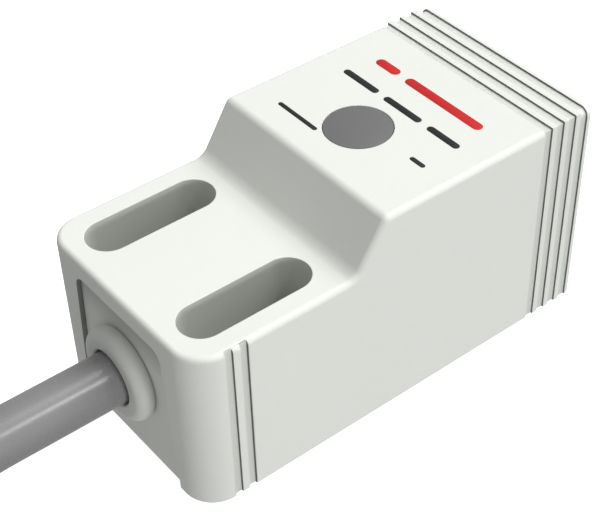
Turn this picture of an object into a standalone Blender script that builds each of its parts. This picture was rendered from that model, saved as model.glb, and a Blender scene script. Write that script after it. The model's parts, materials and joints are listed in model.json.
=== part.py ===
"""Square block inductive proximity sensor, 18 x 18 x 36 mm, with a fixed 2 m cable.

Frame: the origin is the middle of the base, +Z is up, and +X points at what the sensor senses.
Lengths are in millimetres and are scaled to metres where a mesh is made.
Along the body, positions are given as S, the distance from the rear (cable) face.
"""

import math

import bmesh
import bpy
from mathutils import Matrix, Vector

MM = 0.001

# Body
LENGTH, WIDTH = 36.0, 18.0
HIGH, LOW = 18.1, 14.1          # tops of the sensing end and of the mounting end
SLOPE_FOOT, SLOPE_TOP = 13.5, 16.05
REAR_CORNER = 2.5
TOP_EDGE = 0.45
WALL = 1.3
FOOT_RADIUS, CREST_RADIUS = 1.2, 0.7

# Four grooves round the sensing end, and the lip in front of the last
GROOVE_FRONT = (31.6, 32.8, 34.0, 35.2)
GROOVE_WIDE, GROOVE_DEEP = 0.68, 0.16
LIP_CORNER, LIP_EDGE = 0.7, 0.7

# Two short grooves on each side, near the rear
SIDE_GROOVES = ((2.6, 3.2), (3.8, 4.4))
SIDE_GROOVE_DEEP = 0.2

# Mounting slots, for M3 screws
SLOT_ENDS, SLOT_Y, SLOT_RADIUS = (3.25, 10.25), 5.53, 1.72

# Rear recess, and the panel in it
RECESS_TOP, RECESS_HALF_TOP, RECESS_HALF_BASE, RECESS_CORNER = 12.6, 5.05, 5.87, 1.0
PANEL_SET_BACK, PANEL_THICK = 0.34, 0.8
PANEL_GAP = 0.08
BASE_THICK = 1.1
CHANNEL_HALF, CHANNEL_TOP = 3.1, 12.2
CHAMBER = (12.8, 34.7)
CHAMBER_HALF, CHAMBER_TOP = 7.7, 16.8

# Indicator
WINDOW_S, WINDOW_RADIUS = 21.1, 2.54

# Cable
CABLE_RADIUS, CABLE_Z = 2.0, 7.12
CABLE_LENGTH = 2000.0
GROMMET_OUT = 1.1               # how far the grommet stands out of the rear face
GROMMET_RADIUS, GROMMET_TUBE = 3.67, 0.8
BORE = 2.13

# Route of the cable: straight out, down to the surface, then wound as a tied hank in line with the body
DROP_START, DROP_END = -26.5, -54.5
SHIFT_START, SHIFT_END = -27.5, -55.5
RUN_Y = -3.0
LAY_Z = 2.4                     # the turns lie on a cable tie's band
HANK_IN, TURNS = 12.0, 2.5      # distance of the innermost turn from the hank's core line; turns in a row
ROWS, PITCH = 5, 4.0
EXTRA = 1.3                     # turns in the last, part row
CORE_RIGHT = -56.0              # the end of the hank's core line nearer the body
CLIMB = 0.3                     # share of a turn over which the cable climbs from one row to the next
TURN_BACK = 0.08

REAR = -LENGTH / 2
CORE_Z = HIGH / 2
HANK_OUT = HANK_IN + PITCH * TURNS
CORE_Y = RUN_Y + HANK_OUT

COLLECTION = "proximity_sensor"


# ---------------------------------------------------------------- scene
for leftover in list(bpy.data.objects):
    bpy.data.objects.remove(leftover, do_unlink=True)
model = bpy.data.collections.new(COLLECTION)
cutters = bpy.data.collections.new("cutters")
bpy.context.scene.collection.children.link(model)
bpy.context.scene.collection.children.link(cutters)


def material(name, colour, roughness=0.5, metallic=0.0):
    found = bpy.data.materials.get(name)
    if found:
        return found
    made = bpy.data.materials.new(name)
    made.use_nodes = True
    shader = made.node_tree.nodes["Principled BSDF"]
    shader.inputs["Base Color"].default_value = (*colour, 1.0)
    shader.inputs["Roughness"].default_value = roughness
    shader.inputs["Metallic"].default_value = metallic
    made.diffuse_color = (*colour, 1.0)
    return made


def place(obj, cutter=False):
    (cutters if cutter else model).objects.link(obj)
    if cutter:
        obj.hide_render = True
        obj.display_type = "WIRE"
    return obj


def finish(bm, name, finish_material=None, cutter=False):
    """A mesh object from a bmesh in millimetres."""
    bmesh.ops.recalc_face_normals(bm, faces=bm.faces)
    bmesh.ops.scale(bm, vec=(MM, MM, MM), verts=bm.verts)
    mesh = bpy.data.meshes.new(name)
    bm.to_mesh(mesh)
    bm.free()
    obj = bpy.data.objects.new(name, mesh)
    if finish_material:
        mesh.materials.append(finish_material)
    return place(obj, cutter)


def smooth(obj, angle=32):
    obj.data.shade_smooth()
    obj.data.set_sharp_from_angle(angle=math.radians(angle))


# ---------------------------------------------------------------- outlines
def arc_corner(before, corner, after, radius, segments):
    """Points of an arc that rounds one corner of an outline."""
    a = (Vector(before) - Vector(corner)).normalized()
    b = (Vector(after) - Vector(corner)).normalized()
    half = a.angle(b) / 2
    reach = radius / math.tan(half)
    middle = Vector(corner) + (a + b).normalized() * (radius / math.sin(half))
    start, end = Vector(corner) + a * reach, Vector(corner) + b * reach
    u, v = start - middle, end - middle
    turn = u.angle(v)
    points = []
    for k in range(segments + 1):
        t = k / segments
        points.append(
            middle
            + (u * math.sin((1 - t) * turn) + v * math.sin(t * turn)) / math.sin(turn)
        )
    return [(p.x, p.y) for p in points]


def outline(corners):
    """An outline from (x, y, radius, segments) corners."""
    n = len(corners)
    points = []
    for i, (x, y, radius, segments) in enumerate(corners):
        if radius:
            points += arc_corner(
                corners[i - 1][:2], (x, y), corners[(i + 1) % n][:2], radius, segments
            )
        else:
            points.append((x, y))
    return points


def obround(ends, y, radius, segments=12):
    points = []
    for k in range(segments + 1):
        t = -math.pi / 2 + math.pi * k / segments
        points.append((ends[1] + radius * math.cos(t), y + radius * math.sin(t)))
    for k in range(segments + 1):
        t = math.pi / 2 + math.pi * k / segments
        points.append((ends[0] + radius * math.cos(t), y + radius * math.sin(t)))
    return points


def extruded(points, plane, low, high):
    """A bmesh of an outline extruded across its plane: "xz" along Y, "yz" along X, "xy" along Z."""
    bm = bmesh.new()
    where = {
        "xz": lambda a, b, c: (a, c, b),
        "yz": lambda a, b, c: (c, a, b),
        "xy": lambda a, b, c: (a, b, c),
    }[plane]
    verts = [bm.verts.new(where(a, b, low)) for a, b in points]
    edges = [bm.edges.new(pair) for pair in zip(verts, verts[1:] + verts[:1])]
    face = bmesh.ops.edgeloop_fill(bm, edges=edges)["faces"][0]
    moved = [
        g
        for g in bmesh.ops.extrude_face_region(bm, geom=[face])["geom"]
        if isinstance(g, bmesh.types.BMVert)
    ]
    bmesh.ops.translate(bm, vec=Vector(where(0, 0, high - low)), verts=moved)
    bmesh.ops.recalc_face_normals(bm, faces=bm.faces)
    return bm


def box(s0, s1, y0, y1, z0, z1):
    bm = bmesh.new()
    bmesh.ops.create_cube(bm, size=1.0)
    bmesh.ops.scale(bm, vec=(s1 - s0, y1 - y0, z1 - z0), verts=bm.verts)
    bmesh.ops.translate(
        bm, vec=(REAR + (s0 + s1) / 2, (y0 + y1) / 2, (z0 + z1) / 2), verts=bm.verts
    )
    return bm


def cylinder(axis, centre, radius, low, high, segments=32):
    """A closed cylinder between low and high along an axis, x or z."""
    bm = bmesh.new()
    bmesh.ops.create_cone(
        bm,
        cap_ends=True,
        segments=segments,
        radius1=radius,
        radius2=radius,
        depth=high - low,
    )
    if axis == "x":
        bmesh.ops.rotate(bm, matrix=Matrix.Rotation(math.pi / 2, 3, "Y"), verts=bm.verts)
        bmesh.ops.translate(
            bm, vec=((low + high) / 2, centre[0], centre[1]), verts=bm.verts
        )
    else:
        bmesh.ops.translate(
            bm, vec=(centre[0], centre[1], (low + high) / 2), verts=bm.verts
        )
    return bm


def bevel(bm, chosen, width, segments):
    bmesh.ops.bevel(
        bm,
        geom=chosen,
        offset=width,
        segments=segments,
        profile=0.5,
        affect="EDGES",
        clamp_overlap=True,
    )


def cut(obj, tool, kind="DIFFERENCE"):
    step = obj.modifiers.new(tool.name, "BOOLEAN")
    step.operation = kind
    step.object = tool
    step.solver = "EXACT"


def turned(name, profile, axis, centre, finish_material, steps=32, cutter=False):
    """A turned solid: a closed (radius, along) profile swept round an axis by a Screw modifier."""
    bm = bmesh.new()
    verts = [bm.verts.new((r * MM, 0.0, a * MM)) for r, a in profile]
    for a, b in zip(verts, verts[1:] + verts[:1]):
        bm.edges.new((a, b))
    mesh = bpy.data.meshes.new(name)
    bm.to_mesh(mesh)
    bm.free()
    mesh.materials.append(finish_material)
    obj = bpy.data.objects.new(name, mesh)
    place(obj, cutter)
    obj.location = Vector(centre) * MM
    if axis == "x":
        obj.rotation_euler = (0.0, math.pi / 2, 0.0)
    screw = obj.modifiers.new("turn", "SCREW")
    screw.axis = "Z"
    screw.angle = 2 * math.pi
    screw.steps = steps
    screw.render_steps = steps
    screw.use_merge_vertices = True
    screw.merge_threshold = 0.00001
    screw.use_smooth_shade = True
    # The profile runs down its outer side, so its faces point out.
    area = sum(
        p[0] * q[1] - q[0] * p[1] for p, q in zip(profile, profile[1:] + profile[:1])
    )
    screw.use_normal_flip = area > 0
    return obj


def wire(name, points, radius, finish_material, bevel_resolution=2):
    """A round wire along points, in millimetres."""
    curve = bpy.data.curves.new(name, "CURVE")
    curve.dimensions = "3D"
    curve.bevel_depth = radius * MM
    curve.bevel_resolution = bevel_resolution
    curve.use_fill_caps = True
    spline = curve.splines.new("POLY")
    spline.points.add(len(points) - 1)
    for point, at in zip(spline.points, points):
        point.co = (at[0] * MM, at[1] * MM, at[2] * MM, 1.0)
    curve.materials.append(finish_material)
    return place(bpy.data.objects.new(name, curve))


def curve_through(points, count):
    """count points, evenly spaced, on a smooth curve through the given ones."""
    ps = [Vector(p) for p in points]
    ps = [2 * ps[0] - ps[1]] + ps + [2 * ps[-1] - ps[-2]]
    dense = []
    for i in range(1, len(ps) - 2):
        p0, p1, p2, p3 = ps[i - 1 : i + 3]
        for k in range(40):
            t = k / 40
            dense.append(
                0.5
                * (
                    2 * p1
                    + (p2 - p0) * t
                    + (2 * p0 - 5 * p1 + 4 * p2 - p3) * t * t
                    + (3 * p1 - p0 - 3 * p2 + p3) * t**3
                )
            )
    dense.append(ps[-2])
    return resampled(dense, count)


def resampled(dense, count):
    along = [0.0]
    for a, b in zip(dense, dense[1:]):
        along.append(along[-1] + (b - a).length)
    result, j = [], 0
    for k in range(count):
        want = along[-1] * k / (count - 1)
        while j < len(along) - 2 and along[j + 1] < want:
            j += 1
        gap = along[j + 1] - along[j]
        result.append(dense[j].lerp(dense[j + 1], (want - along[j]) / gap if gap else 0))
    return result


# ---------------------------------------------------------------- route of the cable
def ease(t):
    t = min(1.0, max(0.0, t))
    return t * t * t * (t * (6 * t - 15) + 10)


def lap(straight, share, distance):
    """A point of the hank in plan, at a share of a lap, at a distance from its core line of length straight."""
    mean = (HANK_IN + HANK_OUT) / 2
    along = straight / (2 * straight + 2 * math.pi * mean)
    round_end = 0.5 - along
    left = CORE_RIGHT - straight
    share %= 1.0
    if share < along:
        return CORE_RIGHT - straight * share / along, CORE_Y - distance
    share -= along
    if share < round_end:
        angle = -math.pi / 2 - math.pi * share / round_end
        return left + distance * math.cos(angle), CORE_Y + distance * math.sin(angle)
    share -= round_end
    if share < along:
        return left + straight * share / along, CORE_Y + distance
    share -= along
    angle = math.pi / 2 - math.pi * share / round_end
    return CORE_RIGHT + distance * math.cos(angle), CORE_Y + distance * math.sin(angle)


def spiral(straight, swept):
    """The cable's centre after swept turns of the hank."""
    row = min(ROWS, int(swept / TURNS + 1e-9))
    inside = swept - row * TURNS
    if row and inside < TURNS / 2:
        inside = math.hypot(inside, TURN_BACK)
    elif row < ROWS and inside > TURNS / 2:
        inside = TURNS - math.hypot(TURNS - inside, TURN_BACK)
    distance = HANK_OUT - PITCH * inside if row % 2 == 0 else HANK_IN + PITCH * inside
    level = sum(ease((swept - k * TURNS) / CLIMB + 0.5) for k in range(1, ROWS + 1))
    x, y = lap(straight, swept, distance)
    return Vector((x, y, LAY_Z + PITCH * level))


def route(straight):
    """The cable's centreline, in millimetres: the run to the hank and the hank. straight is the length of its straight runs."""
    run = []
    x = REAR - GROMMET_OUT
    while x > CORE_RIGHT + 0.5:
        fall = ease((DROP_START - x) / (DROP_START - DROP_END))
        shift = ease((SHIFT_START - x) / (SHIFT_START - SHIFT_END))
        run.append(Vector((x, RUN_Y * shift, CABLE_Z + (LAY_Z - CABLE_Z) * fall)))
        x -= 1.0
    total = TURNS * ROWS + EXTRA
    count = int(total * 90)
    hank = [spiral(straight, total * k / count) for k in range(count + 1)]
    return run, hank


def length_of(points):
    return sum((b - a).length for a, b in zip(points, points[1:]))


low, high = 1.0, 80.0
for _ in range(40):
    middle = (low + high) / 2
    run, hank = route(middle)
    if length_of(run + hank) > CABLE_LENGTH:
        high = middle
    else:
        low = middle
STRAIGHT = low
run, hank = route(STRAIGHT)
HANK_TOP = LAY_Z + PITCH * (ROWS - 1) + CABLE_RADIUS

# ---------------------------------------------------------------- materials
OFF_WHITE = material("housing_plastic", (0.84, 0.87, 0.81), 0.42)
COVER = material("cover_plastic", (0.80, 0.83, 0.77), 0.45)
GROMMET = material("grommet_plastic", (0.80, 0.83, 0.77), 0.5)
WINDOW = material("window_plastic", (0.18, 0.18, 0.18), 0.35)
JACKET = material("cable_jacket", (0.25, 0.25, 0.26), 0.35)
BROWN = material("brown_insulation", (0.16, 0.06, 0.025), 0.4)
BLUE = material("blue_insulation", (0.02, 0.09, 0.42), 0.4)
BLACK = material("black_insulation", (0.015, 0.015, 0.015), 0.4)
BOARD = material("board_laminate", (0.02, 0.16, 0.06), 0.4)
EPOXY = material("component_epoxy", (0.02, 0.02, 0.022), 0.5)
TANTALUM = material("capacitor_epoxy", (0.55, 0.33, 0.05), 0.5)
CERAMIC = material("resistor_ceramic", (0.05, 0.05, 0.06), 0.35)
LED_BODY = material("led_body", (0.75, 0.72, 0.6), 0.4)
HOLDER = material("holder_plastic", (0.04, 0.04, 0.045), 0.5)
FERRITE = material("ferrite", (0.06, 0.06, 0.065), 0.6)
BOBBIN = material("bobbin_plastic", (0.6, 0.58, 0.5), 0.5)
COPPER = material("enamelled_copper", (0.45, 0.14, 0.05), 0.3, 1.0)
BRASS = material("shield_brass", (0.55, 0.42, 0.17), 0.35, 1.0)
CRIMP = material("crimp_metal", (0.5, 0.5, 0.5), 0.35, 1.0)
RESIN = material("potting_resin", (0.03, 0.03, 0.03), 0.3)
NYLON = material("tie_nylon", (0.75, 0.75, 0.72), 0.45)

# ---------------------------------------------------------------- housing
body_end = GROOVE_FRONT[0] - GROOVE_WIDE
profile = outline(
    [
        (REAR, 0.0, 0, 0),
        (REAR + body_end, 0.0, 0, 0),
        (REAR + body_end, HIGH, 0, 0),
        (REAR + SLOPE_TOP, HIGH, CREST_RADIUS, 3),
        (REAR + SLOPE_FOOT, LOW, FOOT_RADIUS, 4),
        (REAR, LOW, 0, 0),
    ]
)
bm = extruded(profile, "xz", -WIDTH / 2, WIDTH / 2)
upright = [
    e
    for e in bm.edges
    if all(abs(v.co.x - REAR) < 1e-4 for v in e.verts)
    and abs(e.verts[0].co.z - e.verts[1].co.z) > 1
]
bevel(bm, upright, REAR_CORNER, 7)
bmesh.ops.recalc_face_normals(bm, faces=bm.faces)
bm.normal_update()


def is_top(face):
    return face.normal.z > 0.2


def is_wall(face):
    return abs(face.normal.z) < 0.1 and face.normal.x < 0.5


rims = [
    e
    for e in bm.edges
    if len(e.link_faces) == 2
    and (
        (is_top(e.link_faces[0]) and is_wall(e.link_faces[1]))
        or (is_top(e.link_faces[1]) and is_wall(e.link_faces[0]))
    )
]
bevel(bm, rims, TOP_EDGE, 3)
housing = finish(bm, "housing", OFF_WHITE)


def section(half, top, corner):
    """The sensing end's outline across the body."""
    return outline(
        [
            (-half, 0.0, 0, 0),
            (half, 0.0, 0, 0),
            (half, top, corner, 6),
            (-half, top, corner, 6),
        ]
    )


last_land = GROOVE_FRONT[3] - GROOVE_WIDE
for label, corner, start, end in (
    ("core", 0, body_end - 0.5, last_land - 0.1),
    ("neck", LIP_CORNER - GROOVE_DEEP, last_land - 0.1, GROOVE_FRONT[3] + 0.2),
):
    bm = extruded(
        section(WIDTH / 2 - GROOVE_DEEP, HIGH - GROOVE_DEEP, corner),
        "yz",
        REAR + start,
        REAR + end,
    )
    cut(housing, finish(bm, f"join_{label}", cutter=True), "UNION")
for k, front in enumerate(GROOVE_FRONT[:3]):
    bm = extruded(
        section(WIDTH / 2, HIGH, 0),
        "yz",
        REAR + front,
        REAR + GROOVE_FRONT[k + 1] - GROOVE_WIDE,
    )
    cut(housing, finish(bm, f"join_land_{k + 1}", cutter=True), "UNION")
bm = extruded(
    section(WIDTH / 2, HIGH, LIP_CORNER), "yz", REAR + GROOVE_FRONT[3], REAR + LENGTH
)
front_rim = [
    e
    for e in bm.edges
    if all(abs(v.co.x - (REAR + LENGTH)) < 1e-4 for v in e.verts)
    and max(v.co.z for v in e.verts) > 0.01
]
bevel(bm, front_rim, LIP_EDGE, 4)
cut(housing, finish(bm, "join_lip", cutter=True), "UNION")

for side in (-1, 1):
    for k, (s0, s1) in enumerate(SIDE_GROOVES):
        y0, y1 = sorted((side * (WIDTH / 2 - SIDE_GROOVE_DEEP), side * (WIDTH / 2 + 1)))
        tool = finish(
            box(s0, s1, y0, y1, -1, LOW + 1),
            f"cut_groove_{'left' if side > 0 else 'right'}_{k + 1}",
            cutter=True,
        )
        cut(housing, tool)
for side in (-1, 1):
    points = [
        (REAR + s, y) for s, y in obround(SLOT_ENDS, side * SLOT_Y, SLOT_RADIUS)
    ]
    cut(
        housing,
        finish(
            extruded(points, "xy", -1, LOW + 1),
            f"cut_slot_{'left' if side > 0 else 'right'}",
            cutter=True,
        ),
    )


def recess(inset, top_inset, low):
    """The recess's outline across the body, drawn in by inset and running down to low."""
    slant = (RECESS_HALF_BASE - RECESS_HALF_TOP) / RECESS_TOP
    half_low = RECESS_HALF_BASE - slant * low - inset
    half_top = RECESS_HALF_TOP - inset
    top = RECESS_TOP - top_inset
    corner = RECESS_CORNER - inset
    return outline(
        [
            (-half_low, low, 0, 0),
            (half_low, low, 0, 0),
            (half_top, top, corner, 5),
            (-half_top, top, corner, 5),
        ]
    )


pocket = PANEL_SET_BACK + PANEL_THICK + 0.05
cut(
    housing,
    finish(
        extruded(recess(0, 0, -1.0), "yz", REAR - 1, REAR + pocket),
        "cut_recess",
        cutter=True,
    ),
)
cut(
    housing,
    finish(
        box(pocket - 0.5, CHAMBER[0] + 0.5, -CHANNEL_HALF, CHANNEL_HALF, -1, CHANNEL_TOP),
        "cut_channel",
        cutter=True,
    ),
)
chamber = [
    (REAR + CHAMBER[0], -1.0),
    (REAR + CHAMBER[1], -1.0),
    (REAR + CHAMBER[1], CHAMBER_TOP),
    (REAR + 16.7, CHAMBER_TOP),
    (REAR + 14.0, CHAMBER_TOP - 4.0),
    (REAR + CHAMBER[0], CHAMBER_TOP - 4.0),
]
cut(
    housing,
    finish(extruded(chamber, "xz", -CHAMBER_HALF, CHAMBER_HALF), "cut_chamber", cutter=True),
)
cut(
    housing,
    finish(
        cylinder("z", (REAR + WINDOW_S, 0), WINDOW_RADIUS + 0.06, CHAMBER_TOP - 1, HIGH + 1, 48),
        "cut_window",
        cutter=True,
    ),
)
smooth(housing)

# ---------------------------------------------------------------- base cover
bm = extruded(
    recess(PANEL_GAP, PANEL_GAP, 0.0),
    "yz",
    REAR + PANEL_SET_BACK,
    REAR + PANEL_SET_BACK + PANEL_THICK,
)
cover = finish(bm, "base_cover", COVER)
stem = box(
    PANEL_SET_BACK + 0.3, CHAMBER[0] + 0.8, -CHANNEL_HALF + 0.1, CHANNEL_HALF - 0.1, 0, BASE_THICK
)
cut(cover, finish(stem, "join_stem", cutter=True), "UNION")
plate = box(
    CHAMBER[0] + 0.1, CHAMBER[1] - 0.1, -CHAMBER_HALF + 0.1, CHAMBER_HALF - 0.1, 0, BASE_THICK
)
cut(cover, finish(plate, "join_plate", cutter=True), "UNION")
cut(
    cover,
    finish(
        cylinder("x", (0, CABLE_Z), 2.66, REAR - 1, REAR + 2, 32), "cut_entry", cutter=True
    ),
)
smooth(cover)

# ---------------------------------------------------------------- grommet
ring = []
tube_r = GROMMET_RADIUS - GROMMET_TUBE
tube_s = -GROMMET_OUT + GROMMET_TUBE
foot = math.degrees(math.asin((PANEL_SET_BACK - 0.05 - tube_s) / GROMMET_TUBE))
for k in range(10):
    t = math.radians(90 - (90 + foot) * k / 9)
    ring.append((tube_r + GROMMET_TUBE * math.cos(t), tube_s - GROMMET_TUBE * math.sin(t)))
grommet_profile = (
    [(BORE, -GROMMET_OUT + 0.12), (BORE + 0.12, -GROMMET_OUT)]
    + ring
    + [
        (2.6, PANEL_SET_BACK - 0.05),
        (2.6, PANEL_SET_BACK + PANEL_THICK + 0.05),
        (2.95, PANEL_SET_BACK + PANEL_THICK + 0.05),
        (2.95, PANEL_SET_BACK + PANEL_THICK + 0.55),
        (BORE, PANEL_SET_BACK + PANEL_THICK + 0.55),
    ]
)
turned("cable_grommet", grommet_profile, "x", (REAR, 0, CABLE_Z), GROMMET, 40)

# ---------------------------------------------------------------- indicator window
turned(
    "indicator_window",
    [
        (0.0, HIGH - 0.01),
        (WINDOW_RADIUS, HIGH - 0.01),
        (WINDOW_RADIUS, CHAMBER_TOP - 0.1),
        (3.3, CHAMBER_TOP - 0.1),
        (3.3, CHAMBER_TOP - 0.75),
        (1.6, CHAMBER_TOP - 0.75),
        (1.6, 14.2),
        (0.0, 14.2),
    ],
    "z",
    (REAR + WINDOW_S, 0, 0),
    WINDOW,
    40,
)

# ---------------------------------------------------------------- cable inside the body
inner_end = 9.5
finish(
    cylinder("x", (0, CABLE_Z), 1.98, REAR - 0.3, REAR + inner_end, 24),
    "cable_inner_jacket",
    JACKET,
)
resin = finish(box(1.9, 4.6, -2.9, 2.9, 1.3, 11.9), "resin_plug", RESIN)
cut(
    resin,
    finish(cylinder("x", (0, CABLE_Z), 2.12, REAR + 1, REAR + 6, 32), "cut_resin", cutter=True),
)
turned(
    "cable_clamp",
    [(2.12, 5.2), (2.6, 5.2), (2.6, 8.2), (2.12, 8.2)],
    "x",
    (REAR, 0, CABLE_Z),
    CRIMP,
    32,
)
for name, finish_material, y, z, end_y in (
    ("core_wire_brown", BROWN, -0.75, 6.70, -3.2),
    ("core_wire_blue", BLUE, 0.75, 6.70, 3.2),
    ("core_wire_black", BLACK, 0.0, 7.98, 0.0),
):
    wire(
        name,
        curve_through(
            [
                (REAR + 9.8, y, z),
                (REAR + 11.3, y, z),
                (REAR + 13.2, y + (end_y - y) * 0.35, z + (9.6 - z) * 0.3),
                (REAR + 15.4, end_y * 0.95, 9.3),
                (REAR + 16.2, end_y, 11.1),
            ],
            14,
        ),
        0.55,
        finish_material,
    )

# ---------------------------------------------------------------- board and its components
board_low, board_top = 11.4, 12.2
finish(box(13.6, 27.3, -6.6, 6.6, board_low, board_top), "circuit_board", BOARD)
on_board = board_top + 0.05

led = finish(box(19.7, 22.5, -1.6, 1.6, on_board, on_board + 1.7), "indicator_led", LED_BODY)
cut(
    led,
    finish(
        cylinder("z", (REAR + 21.1, 0), 1.1, on_board + 0.9, on_board + 3, 24),
        "cut_led",
        cutter=True,
    ),
)


def chip(name, s, y, along, across, tall, finish_material, legs, reach, gauge=0.4):
    """A moulded chip with legs on both sides: legs is a list of (side, offset along the body)."""
    bm = box(
        s - along / 2, s + along / 2, y - across / 2, y + across / 2, on_board + 0.12, on_board + tall
    )
    bevel(bm, list(bm.edges), 0.12, 1)
    obj = finish(bm, name, finish_material)
    for k, (side, offset) in enumerate(legs):
        inner, outer = side * (across / 2 - 0.3), side * (across / 2 + reach)
        y0, y1 = sorted((y + inner, y + outer))
        foot = finish(
            box(s + offset - gauge / 2, s + offset + gauge / 2, y0, y1, on_board, on_board + 0.3),
            f"join_{name}_{k + 1}",
            cutter=True,
        )
        cut(obj, foot, "UNION")
    return obj


chip(
    "oscillator_ic",
    17.0,
    -3.5,
    4.8,
    3.8,
    1.6,
    EPOXY,
    [(side, (k - 1.5) * 1.27) for side in (-1, 1) for k in range(4)],
    0.95,
)
chip(
    "output_transistor",
    17.2,
    3.6,
    2.9,
    1.5,
    1.2,
    EPOXY,
    [(-1, -0.95), (-1, 0.95), (1, 0.0)],
    0.6,
)


def block(name, s, y, along, across, z0, z1, finish_material, edge=0.15):
    bm = box(s - along / 2, s + along / 2, y - across / 2, y + across / 2, z0, z1)
    bevel(bm, list(bm.edges), edge, 1)
    return finish(bm, name, finish_material)


block("filter_capacitor", 24.9, 3.6, 3.5, 2.8, on_board, on_board + 1.9, TANTALUM)
block("resistor_a", 24.9, -1.8, 2.0, 1.25, on_board, on_board + 0.5, CERAMIC, 0.06)
block("resistor_b", 24.9, -4.6, 2.0, 1.25, on_board, on_board + 0.5, CERAMIC, 0.06)
block("protection_diode", 22.5, 3.2, 4.3, 2.6, board_low - 2.15, board_low - 0.05, EPOXY)

# ---------------------------------------------------------------- coil assembly
holder = finish(box(27.6, 28.8, -7.3, 7.3, 1.4, 16.5), "core_holder", HOLDER)
cut(
    holder,
    finish(cylinder("x", (0, CORE_Z), 1.6, REAR + 27, REAR + 29.5, 24), "cut_holder", cutter=True),
)
turned(
    "ferrite_core",
    [
        (0.95, 29.0),
        (6.8, 29.0),
        (6.8, 34.3),
        (5.7, 34.3),
        (5.7, 30.5),
        (2.6, 30.5),
        (2.6, 34.3),
        (0.95, 34.3),
    ],
    "x",
    (REAR, 0, CORE_Z),
    FERRITE,
    36,
)
turned(
    "coil_bobbin",
    [
        (2.72, 30.7),
        (5.5, 30.7),
        (5.5, 31.05),
        (3.05, 31.05),
        (3.05, 33.75),
        (5.5, 33.75),
        (5.5, 34.1),
        (2.72, 34.1),
    ],
    "x",
    (REAR, 0, CORE_Z),
    BOBBIN,
    32,
)
turned(
    "coil_winding",
    [(3.2, 31.2), (5.3, 31.2), (5.3, 33.6), (3.2, 33.6)],
    "x",
    (REAR, 0, CORE_Z),
    COPPER,
    32,
)
turned(
    "shield_ring",
    [(6.95, 29.0), (7.3, 29.0), (7.3, 34.4), (6.95, 34.4)],
    "x",
    (REAR, 0, CORE_Z),
    BRASS,
    36,
)
for name, side in (("coil_lead_a", 1), ("coil_lead_b", -1)):
    wire(
        name,
        curve_through(
            [
                (REAR + 32.5, side * 0.4, CORE_Z),
                (REAR + 30.5, side * 0.4, CORE_Z),
                (REAR + 28.4, side * 0.4, CORE_Z),
                (REAR + 27.2, side * 0.7, CORE_Z + 0.3),
                (REAR + 26.4, side * 1.3, CORE_Z + 1.1),
                (REAR + 26.2, side * 1.4, 11.15),
            ],
            16,
        ),
        0.16,
        COPPER,
    )

# ---------------------------------------------------------------- the free cable
CLEAR = 0.3
CORE_LEFT = CORE_RIGHT - STRAIGHT


def stadium(distance, segments=14):
    """The outline at a distance from the hank's core line."""
    points = []
    for k in range(segments + 1):
        t = -math.pi / 2 + math.pi * k / segments
        points.append((CORE_RIGHT + distance * math.cos(t), CORE_Y + distance * math.sin(t)))
    for k in range(segments + 1):
        t = math.pi / 2 + math.pi * k / segments
        points.append((CORE_LEFT + distance * math.cos(t), CORE_Y + distance * math.sin(t)))
    return points


def clear_of_hank(point):
    nearest = min(max(point.x, CORE_LEFT), CORE_RIGHT)
    away = math.hypot(point.x - nearest, point.y - CORE_Y)
    return away - (HANK_OUT + CABLE_RADIUS) - CABLE_RADIUS - CLEAR


start = [Vector((REAR - 0.6, 0.0, CABLE_Z))]
seen = [p for p in run if clear_of_hank(p) > 0.0]
wire("cable_run", resampled(start + seen, 22), CABLE_RADIUS, JACKET, 3)

solid_top = HANK_TOP - 0.08
bm = extruded(stadium(HANK_OUT + CABLE_RADIUS), "xy", 0.0, solid_top)
rims = [
    e
    for e in bm.edges
    if abs(e.verts[0].co.z - e.verts[1].co.z) < 1e-4
]
bevel(bm, rims, 1.4, 2)
coil_solid = finish(bm, "cable_coil", JACKET)
cut(
    coil_solid,
    finish(
        extruded(stadium(HANK_IN - CABLE_RADIUS), "xy", -1.0, solid_top + 1.0),
        "cut_hank",
        cutter=True,
    ),
)

# The last, part row lies on the others.
top_z = LAY_Z + PITCH * ROWS
last = [p for p in hank if p.z > top_z - 0.02]
wire("cable_end", resampled(last, 60), CABLE_RADIUS, JACKET, 2)

# The tie goes over the bundle of turns; its band under them is left out of this solid.
TIE_X = (CORE_LEFT + CORE_RIGHT) / 2
tie_gap, tie_thick, tie_wide = 0.3, 0.9, 3.0
near, far = CORE_Y + HANK_IN - CABLE_RADIUS, CORE_Y + HANK_OUT + CABLE_RADIUS
tie_top = top_z + CABLE_RADIUS
points = outline(
    [
        (near - tie_gap - tie_thick, 0.0, 0, 0),
        (near - tie_gap - tie_thick, tie_top + tie_gap + tie_thick, 2.0, 3),
        (far + tie_gap + tie_thick, tie_top + tie_gap + tie_thick, 2.0, 3),
        (far + tie_gap + tie_thick, 0.0, 0, 0),
        (far + tie_gap, 0.0, 0, 0),
        (far + tie_gap, tie_top + tie_gap, 1.1, 3),
        (near - tie_gap, tie_top + tie_gap, 1.1, 3),
        (near - tie_gap, 0.0, 0, 0),
    ]
)
finish(extruded(points, "yz", TIE_X - tie_wide / 2, TIE_X + tie_wide / 2), "coil_tie", NYLON)

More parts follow.
